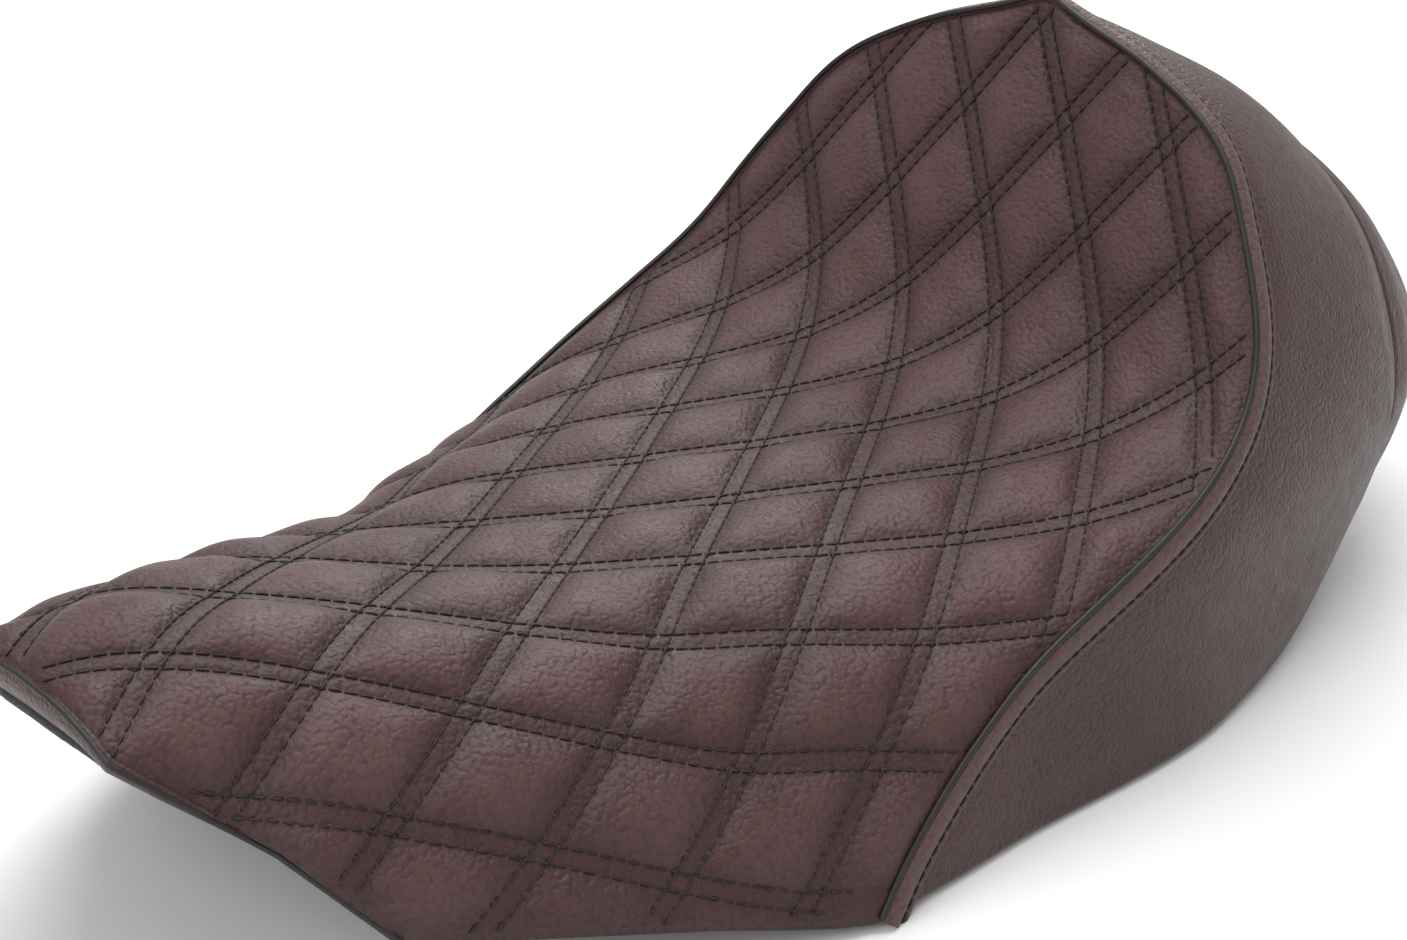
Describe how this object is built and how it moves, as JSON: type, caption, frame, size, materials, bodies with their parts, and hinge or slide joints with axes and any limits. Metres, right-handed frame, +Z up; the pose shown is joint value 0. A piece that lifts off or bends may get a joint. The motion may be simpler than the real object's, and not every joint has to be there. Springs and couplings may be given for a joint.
{
  "type": "motorcycle solo seat",
  "caption": "Solo motorcycle seat: brown diamond-quilted top with welted edge, plain skirts and rear panel, foam on a moulded pan with front tongue and rear bracket.",
  "frame": {"origin": "middle of the footprint, on the surface that the seat stands on", "axes": "+X forward to the nose, +Y to the rider's left, +Z up"},
  "size_m": [0.6397, 0.32, 0.232],
  "materials": {
    "pan_plastic": "fine moulded grain, matt",
    "moulded_foam": "open moulded polyurethane foam",
    "quilt_foam": "soft sheet foam",
    "quilted_leather": "pebbled brown vinyl leather, satin",
    "plain_leather": "pebbled brown vinyl leather, satin",
    "edge_rubber": "black rubber edging, matt",
    "welt_leather": "brown vinyl leather pulled tight, satin",
    "galvanised_wire": "galvanised wire",
    "plated_steel": "zinc plated sheet steel",
    "rivet_steel": "bright steel",
    "bumper_rubber": "black rubber, matt"
  },
  "bodies": {
    "root": {"seat_pan": "pan_plastic", "foam_core": "moulded_foam", "quilt_padding": "quilt_foam", "cover_top": "quilted_leather", "cover_rear": "plain_leather", "cover_skirt_left": "plain_leather", "cover_skirt_right": "plain_leather", "nose_band": "plain_leather", "front_trim": "edge_rubber", "seam_welt": "welt_leather", "hem": "plain_leather", "hem_staples": "galvanised_wire", "front_tongue": "plated_steel", "rear_bracket": "plated_steel", "front_rivets": "rivet_steel", "rear_rivets": "rivet_steel", "front_backing_plate": "plated_steel", "rear_backing_plate": "plated_steel", "bumper_front_left": "bumper_rubber", "bumper_front_right": "bumper_rubber", "bumper_rear_left": "bumper_rubber", "bumper_rear_right": "bumper_rubber"}
  },
  "joints": []
}
